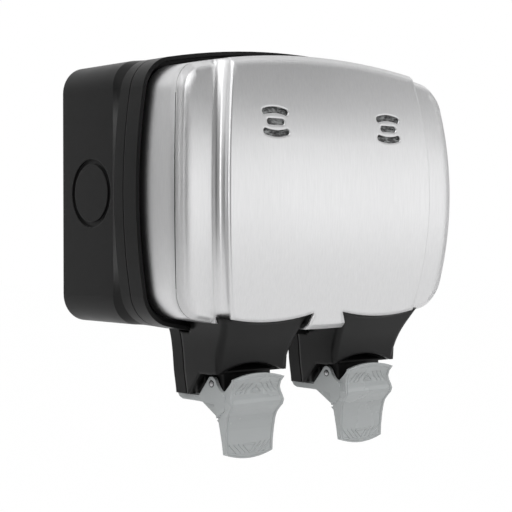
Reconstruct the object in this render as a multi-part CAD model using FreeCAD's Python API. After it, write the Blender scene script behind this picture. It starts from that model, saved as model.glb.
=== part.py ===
"""Twin switched socket in a weatherproof wall enclosure, with a hinged steel-faced lid and two latches.

Millimetres. X runs to the right as seen from the front, Y runs back to the wall, Z is up.
The origin is the centre of the mounting face, so everything in front of the wall has a negative Y.
Depths are given as distances in front of the wall and turned into Y by a minus sign.
"""
import FreeCAD, Part
import math
import os

V = FreeCAD.Vector


def bow_radius(half, crown):
    """The radius of a bow that rises by its crown over twice a half length, to a micron."""
    return round((half * half + crown * crown) / (2 * crown), 3)


# Back box
BOX_WIDTH = 174.5
BOX_HEIGHT = 120.0
BOX_CORNER = 13.0
BOX_WALL = 2.6
BOX_FLOOR = 3.0
BOX_DEPTH = 53.0
BOX_FLARE_END = BOX_DEPTH - 7.0
BOX_STRAIGHT_DEPTH = BOX_FLARE_END - 5.0
KNOCKOUT_DEPTH = 23.4
KNOCKOUT_RADIUS = 13.3
KNOCKOUT_RING = 2.4
KNOCKOUT_GROOVE = 1.2
FIXING_INSET = 17.25
FIXING_SPACING_X = BOX_WIDTH - 2 * FIXING_INSET
FIXING_SPACING_Z = 50.4
FIXING_RADIUS = 2.6
FIXING_BOSS_RADIUS = 6.0
FIXING_BOSS_HEIGHT = 3.0

# Barrel outline shared by the box rim and the front frame
FRAME_OVERHANG = 3.15
FRAME_HALF_WIDTH = BOX_WIDTH / 2 + FRAME_OVERHANG
FRAME_RISE = 7.0
FRAME_HALF_HEIGHT = BOX_HEIGHT / 2 + FRAME_RISE
SIDE_CROWN = 8.38096
TOP_CROWN = 10.90944
SIDE_BOW = bow_radius(FRAME_HALF_HEIGHT, SIDE_CROWN)
TOP_BOW = bow_radius(FRAME_HALF_WIDTH, TOP_CROWN)
FRAME_CORNER = 17.0

# Faceplate of the twin socket and its two outlets, which the enclosure is built round
PLATE_MARGIN = 14.25
PLATE_WIDTH = BOX_WIDTH - 2 * PLATE_MARGIN
PLATE_HEIGHT = BOX_HEIGHT - 34.0
PLATE_CORNER = 4.0
PLATE_SCREW_INSET = 12.7
PLATE_SCREW_X = PLATE_WIDTH / 2 - PLATE_SCREW_INSET
OUTLET_INSET = 37.1
OUTLET_SPACING = PLATE_WIDTH - 2 * OUTLET_INSET

# Front frame
FRAME_GAP = 0.5
FRAME_FACE = BOX_DEPTH + 6.4
LIP_FRONT = FRAME_FACE + 3.6
LIP_THICKNESS = 1.8
SPIGOT_REACH = 6.0
SPIGOT_WALL = 2.0
SPIGOT_CLEARANCE = 0.3
SEAL_THICKNESS = 1.2
SEAL_WIDTH = 3.0
SCREW_MARGIN = 11.25
SCREW_X = BOX_WIDTH / 2 - SCREW_MARGIN
SCREW_Z = BOX_HEIGHT / 2 - 12.0
SCREW_RADIUS = 2.0
SCREW_HEAD_RADIUS = 3.6
SCREW_HEAD_HEIGHT = 2.4
SCREW_CLEARANCE = 0.3
PILLAR_RADIUS = 4.6

# Lid
LID_MARGIN = 3.3
LID_HALF_WIDTH = FRAME_HALF_WIDTH - LID_MARGIN
LID_HALF_HEIGHT = FRAME_HALF_HEIGHT - 4.0
LID_SPARE = 32.75
LID_SPAN = BOX_WIDTH / 2 + LID_SPARE
LID_CORNER = 15.0
LID_REAR = FRAME_FACE + 1.2
FLANK_FRONT = LID_REAR + 28.7
FLANK_BOW = 270.0
BEAD_RADIUS = 3.4
BEAD_BEVEL = 0.7
PANEL_FRONT = FLANK_FRONT + 5.7
PANEL_BOW = 290.0
PANEL_MARGIN = 22.7
PANEL_HALF_WIDTH = LID_HALF_WIDTH - PANEL_MARGIN
PANEL_SIDE_BOW = 244.0
PANEL_ROUND = 0.8
COVE_STEPS = 4
PANEL_TOE = 0.15
PANEL_SPARE = 3.0
PANEL_BASE = LID_REAR + 5.4
PANEL_REACH = LID_HALF_HEIGHT + 5.0
PANEL_STATIONS = (-PANEL_REACH, 0, PANEL_REACH)
CREASE_DEPTH = FLANK_FRONT - 2.7
WINDOW_REAR = FLANK_FRONT - 9.3
CUT_REAR = BOX_DEPTH - 3.0
CUT_FRONT = PANEL_FRONT + 6.0
CREASE_BOW = 240.0
STEEL = 0.8
LID_WALL = 2.4
SEAL_GROOVE = 2.0
SEAL_STRIP = 1.3
CREASE_GROOVE = 0.4

# Hinge
HINGE_DEPTH = LID_REAR + 11.4
HINGE_Z = LID_HALF_HEIGHT - 5.0
HINGE_X = 24.0
HINGE_PIN_RADIUS = 1.5
HINGE_RUNNING = 0.05
HINGE_EAR_WIDTH = 8.0
HINGE_EAR_RADIUS = 3.2
HINGE_SIDE_GAP = 0.5
HINGE_NECK = 2.2
HINGE_WINDOW = 4.4
HINGE_KNUCKLE_WIDTH = 5.0
HINGE_SWING_RADIUS = 11.5

# Cable shrouds and latches, one below each outlet
SHROUD_WALL = 2.0
SHROUD_ROUND = 2.6
SHROUD_OVERLAP = 0.5
THROAT_HALF_WIDTH = 12.1
SHROUD_SEAM = BOX_DEPTH + 0.6
SHROUD_REAR = BOX_DEPTH - 7.5
SHROUD_FOOT = -BOX_HEIGHT / 2 - 32.0
SHROUD_TOP = SHROUD_FOOT + 36.7
SHROUD_TOP_DIP = 3.0
SHROUD_FRONT_WALL = 2.4
SHROUD_STEEL_GAP = 0.25
FRAME_CLEARANCE = 0.6
VEE_TOP = SHROUD_FOOT + 10.3
VEE_DEPTH_REAR = BOX_DEPTH + 1.4
VEE_DEPTH_TOP = BOX_DEPTH + 11.4
EAR_POCKET_REAR = BOX_DEPTH + 7.0
CORE_FRONT = BOX_DEPTH + 20.5
CORE_REAR = BOX_DEPTH + 11.0
RECESS_EDGE = SHROUD_FOOT + 10.7
RECESS_RISE = 4.2
RECESS_HALF_WIDTH = 18.6
RECESS_RADIUS = 16.2
RECESS_FLOOR = 8.8
PIVOT_DEPTH = BOX_DEPTH + 14.5
PIVOT_Z = SHROUD_FOOT + 5.5
PIVOT_RADIUS = 1.2
PIVOT_RUNNING = 0.05
LATCH_HALF_WIDTH = 16.0
LATCH_EAR = 1.8
LATCH_GAP = 0.3
LATCH_SWING = 2.6
LEVER_SKIN = 2.2

# Indicator slots in the lid
SLOT_DROP = 31.7
SLOT_Z = LID_HALF_HEIGHT - SLOT_DROP
SLOT_PITCH = 5.3
SLOT_WIDTH = 3.0
SLOT_LONG = 15.6
SLOT_SHORT = 10.6
SLOT_BOW = 22.0
LENS_THICKNESS = 2.0
LENS_MARGIN = 2.0

# Twin socket insert
PLATE_THICKNESS = 4.0
PLATE_PROUD = 1.6
INSERT_SCREW_GAP = 4.8
INSERT_WIDTH = 2 * (PLATE_SCREW_X - INSERT_SCREW_GAP)
INSERT_HEIGHT = PLATE_HEIGHT - 6.0
INSERT_DEPTH = 22.0
INSERT_WALL = 2.0
PIN_LEVEL = -8.0
LINE_PIN_SPACING = 22.2
EARTH_PIN_RISE = 22.2
LINE_SLOT = (7.2, 4.8)
EARTH_SLOT = (4.8, 9.0)
ROCKER_X = 22.0
ROCKER_Z = 29.5
ROCKER_WIDTH = 12.0
ROCKER_HEIGHT = 17.0
ROCKER_GAP = 0.6
ROCKER_THROW_DEG = 12.0
NEON_X = 0.0
NEON_RADIUS = 1.6
PLATE_SCREW_RADIUS = 1.75
TRUNNION_RADIUS = 1.2
SHUTTER_WIDTH = 32.4
SHUTTER_RAIL = 1.0
CONTACT_LINE_Z = 1.0
CONTACT_NEUTRAL_Z = -18.0
CONTACT_EARTH_Z = 25.0
PLATE_REAR = FRAME_FACE + PLATE_PROUD - PLATE_THICKNESS
ROCKER_PIVOT = PLATE_REAR - 2.0

LEVER_ARCH = 2.4
FLEX_RADIUS = 3.6


def y(depth):
    return -depth


def extrude(wire, length):
    """A wire in an XZ plane, made solid towards the front."""
    return Part.Face(wire).extrude(V(0, -length, 0))


def box(x0, x1, d0, d1, z0, z1):
    """A block between two X, two distances from the wall and two Z."""
    return Part.makeBox(x1 - x0, abs(d1 - d0), z1 - z0, V(x0, -max(d0, d1), z0))


def rod_x(radius, x0, x1, depth, z):
    return Part.makeCylinder(radius, x1 - x0, V(x0, y(depth), z), V(1, 0, 0))


def rod_y(radius, x, z, d0, d1):
    """A cylinder along Y between two distances from the wall."""
    return Part.makeCylinder(radius, abs(d1 - d0), V(x, -min(d0, d1), z), V(0, -1, 0))


def arc(a, b, c):
    return Part.Arc(V(*a), V(*b), V(*c)).toShape()


def barrel(depth, half_w, half_h, side_bow, top_bow, corner):
    """A closed outline of four bowed sides and four round corners, at one distance from the wall."""
    side = (half_w - side_bow, 0.0)
    top = (0.0, half_h - top_bow)
    near, far = side_bow - corner, top_bow - corner
    dx, dz = top[0] - side[0], top[1] - side[1]
    gap = math.hypot(dx, dz)
    along = (near * near - far * far + gap * gap) / (2 * gap)
    off = math.sqrt(near * near - along * along)
    cx = side[0] + along * dx / gap - off * dz / gap
    cz = side[1] + along * dz / gap + off * dx / gap
    if cx < 0 or cz < 0:
        cx = side[0] + along * dx / gap + off * dz / gap
        cz = side[1] + along * dz / gap - off * dx / gap
    on_side = (side[0] + (cx - side[0]) * side_bow / near, cz * side_bow / near)
    on_top = (cx * top_bow / far, top[1] + (cz - top[1]) * top_bow / far)
    lean = math.hypot(on_side[0] + on_top[0] - 2 * cx, on_side[1] + on_top[1] - 2 * cz)
    mid = (cx + (on_side[0] + on_top[0] - 2 * cx) * corner / lean,
           cz + (on_side[1] + on_top[1] - 2 * cz) * corner / lean)

    def p(xz, sx, sz):
        return (sx * xz[0], y(depth), sz * xz[1])

    edges = [
        arc(p(on_side, 1, -1), p((half_w, 0), 1, 1), p(on_side, 1, 1)),
        arc(p(on_side, 1, 1), p(mid, 1, 1), p(on_top, 1, 1)),
        arc(p(on_top, 1, 1), p((0, half_h), 1, 1), p(on_top, -1, 1)),
        arc(p(on_top, -1, 1), p(mid, -1, 1), p(on_side, -1, 1)),
        arc(p(on_side, -1, 1), p((half_w, 0), -1, 1), p(on_side, -1, -1)),
        arc(p(on_side, -1, -1), p(mid, -1, -1), p(on_top, -1, -1)),
        arc(p(on_top, -1, -1), p((0, half_h), 1, -1), p(on_top, 1, -1)),
        arc(p(on_top, 1, -1), p(mid, 1, -1), p(on_side, 1, -1)),
    ]
    return Part.Wire(edges)


def frame_outline(depth, inset=0.0):
    return barrel(depth, FRAME_HALF_WIDTH - inset, FRAME_HALF_HEIGHT - inset,
                  SIDE_BOW - inset, TOP_BOW - inset, FRAME_CORNER - inset)


def lid_outline(depth, inset=0.0):
    return barrel(depth, LID_HALF_WIDTH - inset, LID_HALF_HEIGHT - inset,
                  SIDE_BOW - inset, TOP_BOW - inset, LID_CORNER - inset)


def rounded_rectangle(depth, width, height, corner, cx=0.0, cz=0.0):
    """The same eight edges as a barrel outline, with straight sides."""
    a, b, r = width / 2, height / 2, corner
    k = r * (1 - math.sqrt(0.5))

    def p(x, z):
        return V(cx + x, y(depth), cz + z)

    def bend(p0, p1, p2):
        return Part.Arc(p0, p1, p2).toShape()

    return Part.Wire([
        Part.makeLine(p(a, -b + r), p(a, b - r)),
        bend(p(a, b - r), p(a - k, b - k), p(a - r, b)),
        Part.makeLine(p(a - r, b), p(-a + r, b)),
        bend(p(-a + r, b), p(-a + k, b - k), p(-a, b - r)),
        Part.makeLine(p(-a, b - r), p(-a, -b + r)),
        bend(p(-a, -b + r), p(-a + k, -b + k), p(-a + r, -b)),
        Part.makeLine(p(-a + r, -b), p(a - r, -b)),
        bend(p(a - r, -b), p(a - k, -b + k), p(a, -b + r)),
    ])


def slab(depth0, depth1, width, height, corner, cx=0.0, cz=0.0):
    return extrude(rounded_rectangle(depth0, width, height, corner, cx, cz), depth1 - depth0)


def side_profile(points, x0, x1):
    """A polygon of (distance from the wall, Z) points, made solid between two X."""
    ring = [V(x0, y(d), z) for d, z in points]
    return Part.Face(Part.makePolygon(ring + ring[:1])).extrude(V(x1 - x0, 0, 0))


def front_profile(points, depth0, depth1):
    """A polygon of (X, Z) points, made solid between two distances from the wall."""
    ring = [V(x, y(depth0), z) for x, z in points]
    return Part.Face(Part.makePolygon(ring + ring[:1])).extrude(V(0, depth0 - depth1, 0))


def halfspace_behind(apex, bow):
    """Everything nearer the wall than a surface bowed in Z, whose crest is at the given depth."""
    return rod_x(bow, -LID_SPAN, LID_SPAN, apex - bow, 0)


def build_back_box():
    rear = rounded_rectangle(BOX_STRAIGHT_DEPTH, BOX_WIDTH, BOX_HEIGHT, BOX_CORNER)
    body = slab(0, BOX_STRAIGHT_DEPTH, BOX_WIDTH, BOX_HEIGHT, BOX_CORNER)
    flare = Part.makeLoft([rear, frame_outline(BOX_FLARE_END)], True, True)
    body = body.fuse(flare)
    body = body.fuse(extrude(frame_outline(BOX_FLARE_END), BOX_DEPTH - BOX_FLARE_END))
    inner_w = BOX_WIDTH - 2 * BOX_WALL
    inner_h = BOX_HEIGHT - 2 * BOX_WALL
    body = body.cut(slab(BOX_FLOOR, BOX_DEPTH, inner_w, inner_h, BOX_CORNER - BOX_WALL))
    rim_depth = BOX_DEPTH - SPIGOT_REACH
    body = body.cut(extrude(frame_outline(rim_depth, BOX_WALL), SPIGOT_REACH))
    for side in (-1, 1):
        face = side * BOX_WIDTH / 2
        start = face - KNOCKOUT_GROOVE if side > 0 else face
        ring = rod_x(KNOCKOUT_RADIUS + KNOCKOUT_RING, start, start + KNOCKOUT_GROOVE, KNOCKOUT_DEPTH, 0)
        ring = ring.cut(rod_x(KNOCKOUT_RADIUS, start, start + KNOCKOUT_GROOVE, KNOCKOUT_DEPTH, 0))
        body = body.cut(ring)
        above = V(side * OUTLET_SPACING / 2, y(KNOCKOUT_DEPTH), BOX_HEIGHT / 2)
        top = Part.makeCylinder(KNOCKOUT_RADIUS + KNOCKOUT_RING, KNOCKOUT_GROOVE, above, V(0, 0, -1))
        core = Part.makeCylinder(KNOCKOUT_RADIUS, KNOCKOUT_GROOVE, above, V(0, 0, -1))
        body = body.cut(top.cut(core))
        for up in (-1, 1):
            pillar = rod_y(PILLAR_RADIUS, side * SCREW_X, up * SCREW_Z, BOX_FLOOR, BOX_DEPTH - SPIGOT_REACH)
            body = body.fuse(pillar)
            body = body.cut(rod_y(SCREW_RADIUS, side * SCREW_X, up * SCREW_Z,
                                  BOX_DEPTH - SPIGOT_REACH - 14, BOX_DEPTH - SPIGOT_REACH))
            x, z = side * FIXING_SPACING_X / 2, up * FIXING_SPACING_Z / 2
            body = body.fuse(rod_y(FIXING_BOSS_RADIUS, x, z, BOX_FLOOR, BOX_FLOOR + FIXING_BOSS_HEIGHT))
            body = body.cut(rod_y(FIXING_RADIUS, x, z, 0, BOX_FLOOR + FIXING_BOSS_HEIGHT))
        post = rod_y(PILLAR_RADIUS, side * PLATE_SCREW_X, 0, BOX_FLOOR, PLATE_REAR)
        body = body.fuse(post)
        body = body.cut(rod_y(PLATE_SCREW_RADIUS, side * PLATE_SCREW_X, 0, PLATE_REAR - 16, PLATE_REAR))
        half = shroud_half(side * OUTLET_SPACING / 2, rear_half=True)
        body = body.fuse(half.cut(extrude(frame_outline(BOX_STRAIGHT_DEPTH, BOX_WALL), 20)))
    return body.removeSplitter()


def flare_line(inset=0.0):
    """Half widths of the shroud against Z, widening towards the lid in a trumpet curve."""
    rows = [(0.0, 19.2), (4.0, 19.7), (10.7, 20.7), (17.0, 21.2), (23.0, 21.9), (28.5, 23.0), (33.0, 24.7),
            (SHROUD_TOP - SHROUD_FOOT, 26.6)]
    return [(SHROUD_FOOT + rise, half - inset) for rise, half in rows]


def smooth(points):
    """A smooth edge through points."""
    curve = Part.BSplineCurve()
    curve.interpolate(points)
    return curve.toShape()


def shroud_block(cx, inset, d0, d1, top_shift=0.0):
    """The front outline of a shroud with its dipped top, made solid between two distances."""
    rows = flare_line(inset)
    right = [V(cx + w, y(d0), z) for z, w in rows]
    left = [V(cx - w, y(d0), z) for z, w in reversed(rows)]
    right[-1].z += top_shift
    left[0].z += top_shift
    dip = V(cx, y(d0), right[-1].z - SHROUD_TOP_DIP)
    wire = Part.Wire([smooth(right), Part.Arc(right[-1], dip, left[0]).toShape(), smooth(left),
                      Part.makeLine(left[-1], right[0])])
    return extrude(wire, d1 - d0)


SWEEP_POINTS = [(24.0, 10.7), (25.4, 16.5), (27.8, 22.5), (31.0, 28.2), (34.0, 33.4), (36.2, 38.0)]
SHROUD_SWEEP = [(BOX_DEPTH + ahead, SHROUD_FOOT + rise) for ahead, rise in SWEEP_POINTS]


def shroud_envelope(cx, inset):
    """Everything behind the curved front of a shroud."""
    front = [V(cx - 40, y(d - inset), z) for d, z in SHROUD_SWEEP]
    low = V(cx - 40, front[0].y, SHROUD_FOOT)
    low_back = V(cx - 40, y(SHROUD_SEAM), SHROUD_FOOT)
    high_back = V(cx - 40, y(SHROUD_SEAM), front[-1].z)
    wire = Part.Wire([Part.makeLine(low_back, low), Part.makeLine(low, front[0]), smooth(front),
                      Part.makeLine(front[-1], high_back), Part.makeLine(high_back, low_back)])
    return Part.Face(wire).extrude(V(80, 0, 0))


def shroud_half(cx, rear_half):
    """One half of a cable shroud: the rear half is fixed and the front half moves with the lid."""
    wall = SHROUD_WALL
    if rear_half:
        solid = shroud_block(cx, 0.0, SHROUD_REAR, BOX_DEPTH)
        keep = box(cx - 40, cx + 40, SHROUD_REAR, BOX_DEPTH, SHROUD_FOOT, -BOX_HEIGHT / 2 - 0.5)
        hollow = shroud_block(cx, wall, SHROUD_REAR + wall, BOX_DEPTH)
        return solid.common(keep).cut(hollow)
    solid = shroud_block(cx, 0.0, SHROUD_SEAM, CUT_FRONT).common(shroud_envelope(cx, 0.0))
    corners = []
    for edge in solid.Edges:
        box_of = edge.BoundBox
        tall = box_of.ZLength > 20
        at_side = abs(box_of.XMax + box_of.XMin - 2 * cx) > 30
        if box_of.YMin < y(BOX_DEPTH + 23.0) and tall and at_side:
            corners.append(edge)
    return solid.makeFillet(SHROUD_ROUND, corners)


def shroud_hollow(cx):
    """The space a flex passes through in the front half, behind the core that carries the latch."""
    solid = shroud_block(cx, SHROUD_FRONT_WALL, SHROUD_SEAM - 1, CUT_FRONT)
    front = [(d - SHROUD_FRONT_WALL, z) for d, z in SHROUD_SWEEP[2:]]
    points = [(SHROUD_SEAM - 1, SHROUD_FOOT - 1), (CORE_REAR, SHROUD_FOOT - 1),
              (CORE_REAR, SHROUD_FOOT + 13), (CORE_REAR + 6, SHROUD_FOOT + 19.5)]
    points += front + [(SHROUD_SEAM - 1, front[-1][1])]
    hollow = solid.common(side_profile(points, cx - 40, cx + 40))
    for hand in (-1, 1):
        x0, x1 = sorted((cx + hand * THROAT_HALF_WIDTH, cx + hand * 40))
        hollow = hollow.cut(box(x0, x1, SHROUD_SEAM - 1, CORE_FRONT, SHROUD_FOOT - 1, VEE_TOP + 2))
    return hollow


def panel_section(z, inset):
    """The raised middle panel in plan at one height: a low block, a hollow cove and a bevelled edge."""
    flank = FLANK_FRONT - z * z / (2 * FLANK_BOW) - inset + PANEL_TOE
    panel = PANEL_FRONT - z * z / (2 * PANEL_BOW) - inset
    edge = PANEL_HALF_WIDTH - z * z / (2 * PANEL_SIDE_BOW) - inset
    cove = panel - flank - PANEL_ROUND
    half = [(edge + cove, PANEL_BASE)]
    for i in range(COVE_STEPS + 1):
        turn = math.pi / 2 * i / COVE_STEPS
        half.append((edge + cove * (1 - math.sin(turn)), flank + cove * (1 - math.cos(turn))))
    half.append((edge - PANEL_ROUND - PANEL_SPARE, panel + PANEL_SPARE))
    ring = [V(-x, y(d), z) for x, d in half] + [V(x, y(d), z) for x, d in reversed(half)]
    return Part.makePolygon(ring + ring[:1])


COVER_BLOCKS = {}


def cover_block(inset):
    """The lid as one solid block, shrunk by an inset and kept for the next call."""
    if inset not in COVER_BLOCKS:
        COVER_BLOCKS[inset] = make_cover_block(inset)
    return COVER_BLOCKS[inset]


def bevelled_block(front, bow, inset):
    """The outline of the lid filled up to a bowed front, with a bevel round the edge of the front."""
    block = extrude(lid_outline(LID_REAR, inset), 60).common(halfspace_behind(front - inset, bow))
    if inset < BEAD_RADIUS:
        rim = [e for e in block.Edges if e.BoundBox.YMax < y(LID_REAR + 6)]
        block = block.makeChamfer((BEAD_RADIUS - inset) * BEAD_BEVEL, rim)
    return block


def make_cover_block(inset):
    panel = Part.makeLoft([panel_section(z, inset) for z in PANEL_STATIONS], True, False)
    panel = panel.common(bevelled_block(PANEL_FRONT, PANEL_BOW, inset))
    return bevelled_block(FLANK_FRONT, FLANK_BOW, inset).fuse(panel)


def slot_shapes(cx, grow=0.0):
    """The three openings of one indicator group: an arch, a short slot and an inverted arch."""
    shapes = []
    half = SLOT_WIDTH / 2 + grow
    for row, bend, length in ((1, 1, SLOT_LONG), (0, 0, SLOT_SHORT), (-1, -1, SLOT_LONG)):
        z = SLOT_Z + row * SLOT_PITCH
        reach = length / 2 - SLOT_WIDTH / 2
        drop = bend * reach * reach / (2 * SLOT_BOW)
        for x in (-reach, reach):
            shapes.append(rod_y(half, cx + x, z - drop, WINDOW_REAR, CUT_FRONT))
        if bend:
            def p(x, dz):
                return V(cx + x, y(WINDOW_REAR), z + dz - bend * x * x / (2 * SLOT_BOW))

            top = Part.Arc(p(-reach, half), p(0, half), p(reach, half)).toShape()
            low = Part.Arc(p(reach, -half), p(0, -half), p(-reach, -half)).toShape()
            wire = Part.Wire([top, Part.makeLine(p(reach, half), p(reach, -half)), low,
                              Part.makeLine(p(-reach, -half), p(-reach, half))])
            shapes.append(extrude(wire, CUT_FRONT - WINDOW_REAR))
        else:
            shapes.append(box(cx - reach, cx + reach, WINDOW_REAR, CUT_FRONT, z - half, z + half))
    return shapes


def shroud_notch(cx, grow):
    """The opening in the steel for one shroud."""
    keep = box(cx - 40, cx + 40, CUT_REAR, CUT_FRONT, SHROUD_FOOT, 0)
    return shroud_block(cx, -grow, CUT_REAR, CUT_FRONT, grow).common(keep)


def hinge_cutter(grow):
    """Keeps the rear top of the lid inside the circle that it sweeps about the hinge."""
    outside = box(-BOX_WIDTH, BOX_WIDTH, CUT_REAR, HINGE_DEPTH, HINGE_Z, BOX_HEIGHT)
    return outside.cut(rod_x(HINGE_SWING_RADIUS - grow, -BOX_WIDTH, BOX_WIDTH, HINGE_DEPTH, HINGE_Z))


def hinge_windows():
    """Openings in the top of the lid that the frame ears pass through."""
    half = HINGE_EAR_WIDTH / 2 + HINGE_SIDE_GAP
    cuts = []
    for side in (-1, 1):
        cx = side * HINGE_X
        cuts.append(box(cx - half, cx + half, LID_REAR - 1, HINGE_DEPTH + HINGE_WINDOW,
                        HINGE_Z - 5, BOX_HEIGHT))
    return cuts


def build_lid_cover():
    """The brushed steel skin of the lid, with a fine groove where the front turns into the band."""
    skin = cover_block(0.0).cut(cover_block(STEEL))
    groove = extrude(lid_outline(LID_REAR), 60).cut(extrude(lid_outline(LID_REAR, CREASE_GROOVE), 60))
    groove = groove.common(halfspace_behind(CREASE_DEPTH + CREASE_GROOVE / 2, CREASE_BOW))
    groove = groove.cut(halfspace_behind(CREASE_DEPTH - CREASE_GROOVE / 2, CREASE_BOW))
    skin = skin.cut(groove)
    skin = skin.cut(hinge_cutter(0.0))
    for cut in hinge_windows():
        skin = skin.cut(cut)
    for side in (-1, 1):
        cx = side * OUTLET_SPACING / 2
        skin = skin.cut(shroud_notch(cx, SHROUD_STEEL_GAP))
        for cut in slot_shapes(cx):
            skin = skin.cut(cut)
    return skin


def vee_notch(cx, side):
    """The opening in the side of a shroud that shows a latch ear, and the pocket the ear swings in."""
    below = SHROUD_FOOT - 3
    points = [(VEE_DEPTH_REAR - 0.4, below), (VEE_DEPTH_REAR, SHROUD_FOOT), (VEE_DEPTH_TOP, VEE_TOP),
              (PANEL_FRONT, VEE_TOP), (PANEL_FRONT, below)]
    inner = cx + side * (LATCH_HALF_WIDTH - LATCH_EAR - LATCH_GAP)
    middle = cx + side * (LATCH_HALF_WIDTH + LATCH_GAP)
    outer = cx + side * 24
    opening = side_profile(points, min(inner, outer), max(inner, outer))
    pocket = box(min(inner, middle), max(inner, middle), EAR_POCKET_REAR, PANEL_FRONT, below, VEE_TOP)
    return opening.fuse(pocket)


def seal_range():
    """The stretch of the rim that carries the seal, clear of the shrouds and the hinge."""
    return box(-BOX_WIDTH, BOX_WIDTH, CUT_REAR, HINGE_DEPTH - 2, 11 - LID_HALF_HEIGHT, LID_HALF_HEIGHT - 9)


def lid_walls():
    """The black inner shell behind the steel, open at the rear and where the shrouds pass."""
    walls = cover_block(STEEL).cut(cover_block(STEEL + LID_WALL))
    walls = walls.cut(hinge_cutter(STEEL))
    for cut in hinge_windows():
        walls = walls.cut(cut)
    for side in (-1, 1):
        walls = walls.cut(shroud_block(side * OUTLET_SPACING / 2, SHROUD_OVERLAP, CUT_REAR, CUT_FRONT,
                                       -SHROUD_OVERLAP))
    groove = extrude(lid_outline(LID_REAR, STEEL + 0.7), SEAL_GROOVE)
    groove = groove.cut(extrude(lid_outline(LID_REAR, STEEL + 0.7 + SEAL_STRIP), SEAL_GROOVE))
    return walls.cut(groove.common(seal_range()))


def front_shroud(cx):
    """The half of a shroud that moves with the lid, with the pivot core and the pockets of the latch."""
    shroud = shroud_half(cx, rear_half=False)
    shroud = shroud.cut(shroud_hollow(cx))
    shroud = shroud.cut(cover_block(STEEL + LID_WALL))
    frame = extrude(frame_outline(SHROUD_SEAM - 1, -FRAME_CLEARANCE), LID_REAR - SHROUD_SEAM + 1)
    shroud = shroud.cut(frame)
    for hand in (-1, 1):
        shroud = shroud.cut(vee_notch(cx, hand))
    shroud = shroud.cut(box(cx - 24, cx + 24, CORE_FRONT, PANEL_FRONT + 1, SHROUD_FOOT - 3, RECESS_EDGE))
    shroud = shroud.cut(finger_recess(cx))
    return shroud.cut(rod_x(PIVOT_RADIUS + PIVOT_RUNNING, cx - 20, cx + 20, PIVOT_DEPTH, PIVOT_Z))


def lid_knuckles(cx):
    """Two rings and webs that hang from the top of the lid round one hinge pin."""
    made = None
    near = HINGE_EAR_WIDTH / 2 + HINGE_SIDE_GAP
    for hand in (-1, 1):
        x0, x1 = sorted((cx + hand * near, cx + hand * (near + HINGE_KNUCKLE_WIDTH)))
        knuckle = rod_x(HINGE_EAR_RADIUS, x0, x1, HINGE_DEPTH, HINGE_Z)
        web = box(x0, x1, HINGE_DEPTH - 2.6, HINGE_DEPTH + 3.2, HINGE_Z, LID_HALF_HEIGHT - 2)
        bore = rod_x(HINGE_PIN_RADIUS + HINGE_RUNNING, x0 - 1, x1 + 1, HINGE_DEPTH, HINGE_Z)
        both = knuckle.fuse(web).cut(bore)
        made = both if made is None else made.fuse(both)
    return made


def build_lid_shell():
    shell = lid_walls()
    for side in (-1, 1):
        cx = side * OUTLET_SPACING / 2
        shell = shell.fuse(front_shroud(cx))
        shell = shell.fuse(lid_knuckles(side * HINGE_X))
        pin = side * HINGE_X
        reach = HINGE_EAR_WIDTH / 2 + HINGE_SIDE_GAP + HINGE_KNUCKLE_WIDTH + 1
        bore = HINGE_PIN_RADIUS + HINGE_RUNNING
        shell = shell.cut(rod_x(bore, pin - reach, pin + reach, HINGE_DEPTH, HINGE_Z))
        for cut in slot_shapes(cx, 0.6):
            shell = shell.cut(cut)
    return shell


def finger_recess(cx):
    """The arched recess over the lever, with room for its top edge to swing in."""
    steps = 10
    half = RECESS_HALF_WIDTH
    ring = []
    for i in range(steps + 1):
        t = 1 - 2 * i / steps
        ring.append((cx + half * t, RECESS_EDGE + RECESS_RISE * (1 - t * t)))
    foot = [(cx - half, SHROUD_FOOT - 4), (cx + half, SHROUD_FOOT - 4)]
    arch = front_profile(foot + ring, CUT_REAR, CUT_FRONT)
    sweep = rod_x(RECESS_RADIUS, cx - half, cx + half, PIVOT_DEPTH, PIVOT_Z)
    sweep = sweep.cut(rod_x(RECESS_FLOOR, cx - half, cx + half, PIVOT_DEPTH, PIVOT_Z))
    return arch.common(sweep).common(box(cx - half, cx + half, PIVOT_DEPTH + 2.5, CUT_FRONT,
                                             RECESS_EDGE - 0.1, RECESS_EDGE + 12))


def build_lens(cx):
    width = SLOT_LONG + 2 * LENS_MARGIN + 1.2
    height = 3 * SLOT_PITCH + 2 * LENS_MARGIN
    window = slab(WINDOW_REAR, CUT_FRONT, width, height, 2.0, cx, SLOT_Z)
    layer = cover_block(STEEL + LID_WALL).cut(cover_block(STEEL + LID_WALL + LENS_THICKNESS))
    lens = layer.common(window)
    for raised in slot_shapes(cx, 0.5):
        lens = lens.fuse(raised.common(cover_block(STEEL)).cut(cover_block(STEEL + LID_WALL + 0.5)))
    return lens


def build_lid_seal():
    ring = extrude(lid_outline(LID_REAR, STEEL + 0.7), SEAL_GROOVE)
    ring = ring.cut(extrude(lid_outline(LID_REAR, STEEL + 0.7 + SEAL_STRIP), SEAL_GROOVE))
    lip = extrude(lid_outline(LID_REAR - 0.6, STEEL + 1.1), 0.7)
    lip = lip.cut(extrude(lid_outline(LID_REAR - 0.6, STEEL + 0.3 + SEAL_STRIP), 0.7))
    keep = seal_range()
    return ring.fuse(lip).common(keep)


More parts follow.
